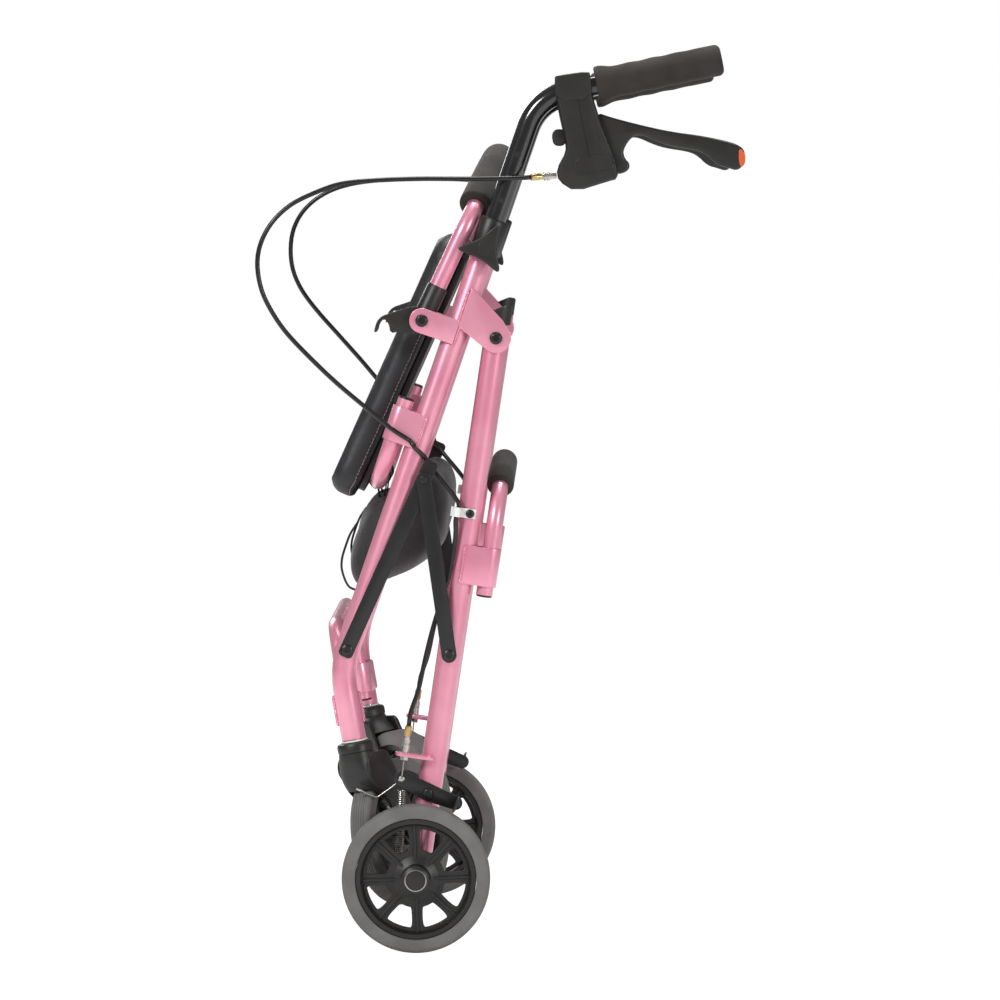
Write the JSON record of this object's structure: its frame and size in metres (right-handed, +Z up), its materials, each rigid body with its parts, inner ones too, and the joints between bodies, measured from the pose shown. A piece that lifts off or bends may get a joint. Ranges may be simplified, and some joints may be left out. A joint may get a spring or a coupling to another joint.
{
  "type": "rollator",
  "caption": "Folding wheeled walker with seat, under-seat bag, padded backrest hoop, hand grips with brake levers and cable brakes, shown folded.",
  "frame": {"origin": "on the floor under the middle of the whole folded walker, at the lowest point of the rear tyres", "axes": "+Z up; +X towards the user, who stands behind the handles, so the walker rolls towards -X; +Y to the walker's right-hand side frame, with the left side frame at -Y"},
  "size_m": [0.5026, 0.581, 0.9316],
  "materials": {
    "pink_paint": "gloss",
    "black_enamel": "gloss",
    "black_plastic": "satin",
    "black_steel": "satin",
    "grey_tyre": "matte",
    "foam": "matte",
    "vinyl": "satin",
    "bag_cloth": "matte",
    "zinc": "satin",
    "white_nylon": "satin",
    "cable_black": "satin"
  },
  "bodies": {
    "front_frame": {"left_front_leg": "pink_paint", "right_front_leg": "pink_paint", "upper_cross_bar": "pink_paint", "lower_cross_bar": "pink_paint", "left_clamp_collar": "black_plastic", "right_clamp_collar": "black_plastic", "left_caster_stem": "zinc", "right_caster_stem": "zinc", "left_fold_bolt": "black_steel", "right_fold_bolt": "black_steel", "seat_bag": "bag_cloth", "left_brake_cable": "cable_black", "right_brake_cable": "cable_black"},
    "rear_frame": {"left_rear_leg": "pink_paint", "right_rear_leg": "pink_paint", "rear_cross_bar": "pink_paint", "rear_bar_foam": "foam", "left_leg_cap": "black_plastic", "right_leg_cap": "black_plastic", "left_cable_clip": "white_nylon", "right_cable_clip": "white_nylon", "left_cable_adjuster": "zinc", "right_cable_adjuster": "zinc", "left_rear_axle": "zinc", "right_rear_axle": "zinc"},
    "left_knob": {"left_height_knob": "black_plastic"},
    "right_knob": {"right_height_knob": "black_plastic"},
    "left_rear_wheel": {"left_rear_tyre": "grey_tyre", "left_rear_rim": "black_plastic", "left_hub_cap": "black_plastic"},
    "right_rear_wheel": {"right_rear_tyre": "grey_tyre", "right_rear_rim": "black_plastic", "right_hub_cap": "black_plastic"},
    "left_arm": {"left_brake_arm": "black_steel"},
    "right_arm": {"right_brake_arm": "black_steel"},
    "left_caster": {"left_caster_fork": "black_plastic"},
    "right_caster": {"right_caster_fork": "black_plastic"},
    "left_caster_wheel": {"left_caster_tyre": "grey_tyre", "left_caster_rim": "black_plastic"},
    "right_caster_wheel": {"right_caster_tyre": "grey_tyre", "right_caster_rim": "black_plastic"},
    "left_front_bar": {"left_front_brace": "black_steel"},
    "right_front_bar": {"right_front_brace": "black_steel"},
    "left_rear_bar": {"left_rear_brace": "black_steel"},
    "right_rear_bar": {"right_rear_brace": "black_steel"},
    "left_handle": {"left_handle_tube": "black_enamel", "left_grip": "foam", "left_brake_housing": "black_plastic"},
    "right_handle": {"right_handle_tube": "black_enamel", "right_grip": "foam", "right_brake_housing": "black_plastic"},
    "left_lever": {"left_brake_lever": "black_plastic"},
    "right_lever": {"right_brake_lever": "black_plastic"},
    "backrest": {"backrest_tube": "pink_paint", "backrest_foam": "foam", "left_backrest_socket": "black_plastic", "right_backrest_socket": "black_plastic"},
    "seat": {"seat_pad": "vinyl", "seat_board": "black_plastic"}
  },
  "joints": [
    {"name": "fold", "type": "hinge", "parent": "front_frame", "child": "rear_frame", "pos_m": [-0.00478, 0, 0.6297], "axis": [0, -1, 0], "range_deg": [0, 49.3], "deforming": ["left_brake_cable", "right_brake_cable"]},
    {"name": "seat_hinge", "type": "hinge", "parent": "front_frame", "child": "seat", "pos_m": [-0.12696, 0, 0.48034], "axis": [0, 1, 0], "range_deg": [0, 50.7]},
    {"name": "left_front_brace_hinge", "type": "hinge", "parent": "front_frame", "child": "left_front_bar", "pos_m": [-0.1581, -0.22, 0.30851], "axis": [0, 1, 0], "range_deg": [0, 54.8]},
    {"name": "right_front_brace_hinge", "type": "hinge", "parent": "front_frame", "child": "right_front_bar", "pos_m": [-0.1581, 0.22, 0.30851], "axis": [0, 1, 0], "range_deg": [0, 54.8]},
    {"name": "left_rear_brace_hinge", "type": "hinge", "parent": "rear_frame", "child": "left_rear_bar", "pos_m": [-0.05294, -0.22, 0.30353], "axis": [0, -1, 0], "range_deg": [0, 43.7]},
    {"name": "right_rear_brace_hinge", "type": "hinge", "parent": "rear_frame", "child": "right_rear_bar", "pos_m": [-0.05294, 0.22, 0.30353], "axis": [0, -1, 0], "range_deg": [0, 43.7]},
    {"name": "backrest_hinge", "type": "hinge", "parent": "front_frame", "child": "backrest", "pos_m": [-0.08107, 0, 0.64772], "axis": [0, -1, 0], "range_deg": [0, 55]},
    {"name": "left_handle_slide", "type": "slide", "parent": "front_frame", "child": "left_handle", "axis": [0.3256, 0, 0.9455], "range_m": [-0.05, 0.1], "deforming": ["left_brake_cable"]},
    {"name": "right_handle_slide", "type": "slide", "parent": "front_frame", "child": "right_handle", "axis": [0.3256, 0, 0.9455], "range_m": [-0.05, 0.1], "deforming": ["right_brake_cable"]},
    {"name": "left_knob_turn", "type": "hinge", "parent": "front_frame", "child": "left_knob", "pos_m": [-0.01579, -0.22, 0.7218], "axis": [0, -1, 0], "continuous": true},
    {"name": "right_knob_turn", "type": "hinge", "parent": "front_frame", "child": "right_knob", "pos_m": [-0.01579, 0.22, 0.7218], "axis": [0, 1, 0], "continuous": true},
    {"name": "left_lever_hinge", "type": "hinge", "parent": "left_handle", "child": "left_lever", "pos_m": [0.10037, -0.22, 0.83307], "axis": [0, -1, 0], "range_deg": [0, 16], "stiffness_Nm_per_rad": 1, "springref_deg": -5.73},
    {"name": "right_lever_hinge", "type": "hinge", "parent": "right_handle", "child": "right_lever", "pos_m": [0.10037, 0.22, 0.83307], "axis": [0, -1, 0], "range_deg": [0, 16], "stiffness_Nm_per_rad": 1, "springref_deg": -5.73},
    {"name": "left_arm_hinge", "type": "hinge", "parent": "rear_frame", "child": "left_arm", "pos_m": [-0.07461, -0.233, 0.161], "axis": [0, 1, 0], "range_deg": [0, 4.9]},
    {"name": "right_arm_hinge", "type": "hinge", "parent": "rear_frame", "child": "right_arm", "pos_m": [-0.07461, 0.233, 0.161], "axis": [0, 1, 0], "range_deg": [0, 4.9]},
    {"name": "left_rear_wheel_spin", "type": "hinge", "parent": "rear_frame", "child": "left_rear_wheel", "pos_m": [-0.08651, -0.2665, 0.0762], "axis": [0, 1, 0], "continuous": true},
    {"name": "right_rear_wheel_spin", "type": "hinge", "parent": "rear_frame", "child": "right_rear_wheel", "pos_m": [-0.08651, 0.2665, 0.0762], "axis": [0, 1, 0], "continuous": true},
    {"name": "left_caster_swivel", "type": "hinge", "parent": "front_frame", "child": "left_caster", "pos_m": [-0.15146, -0.22, 0.21535], "axis": [-0.1736, 0, 0.9848], "range_deg": [-5, 150]},
    {"name": "right_caster_swivel", "type": "hinge", "parent": "front_frame", "child": "right_caster", "pos_m": [-0.15146, 0.22, 0.21535], "axis": [-0.1736, 0, 0.9848], "range_deg": [-150, 5]},
    {"name": "left_caster_wheel_spin", "type": "hinge", "parent": "left_caster", "child": "left_caster_wheel", "pos_m": [-0.10483, -0.1742, 0.11563], "axis": [-0.8352, 0.5299, -0.1473], "continuous": true},
    {"name": "right_caster_wheel_spin", "type": "hinge", "parent": "right_caster", "child": "right_caster_wheel", "pos_m": [-0.10483, 0.1742, 0.11563], "axis": [0.8352, 0.5299, 0.1473], "continuous": true}
  ],
  "couplings": [
    {"joint": "seat_hinge", "follows": "fold", "ratio": 1.028},
    {"joint": "left_front_brace_hinge", "follows": "fold", "ratio": 1.1112},
    {"joint": "right_front_brace_hinge", "follows": "fold", "ratio": 1.1112},
    {"joint": "left_rear_brace_hinge", "follows": "fold", "ratio": 0.886},
    {"joint": "right_rear_brace_hinge", "follows": "fold", "ratio": 0.886},
    {"joint": "left_arm_hinge", "follows": "left_lever_hinge", "ratio": 0.305},
    {"joint": "right_arm_hinge", "follows": "right_lever_hinge", "ratio": 0.305}
  ]
}
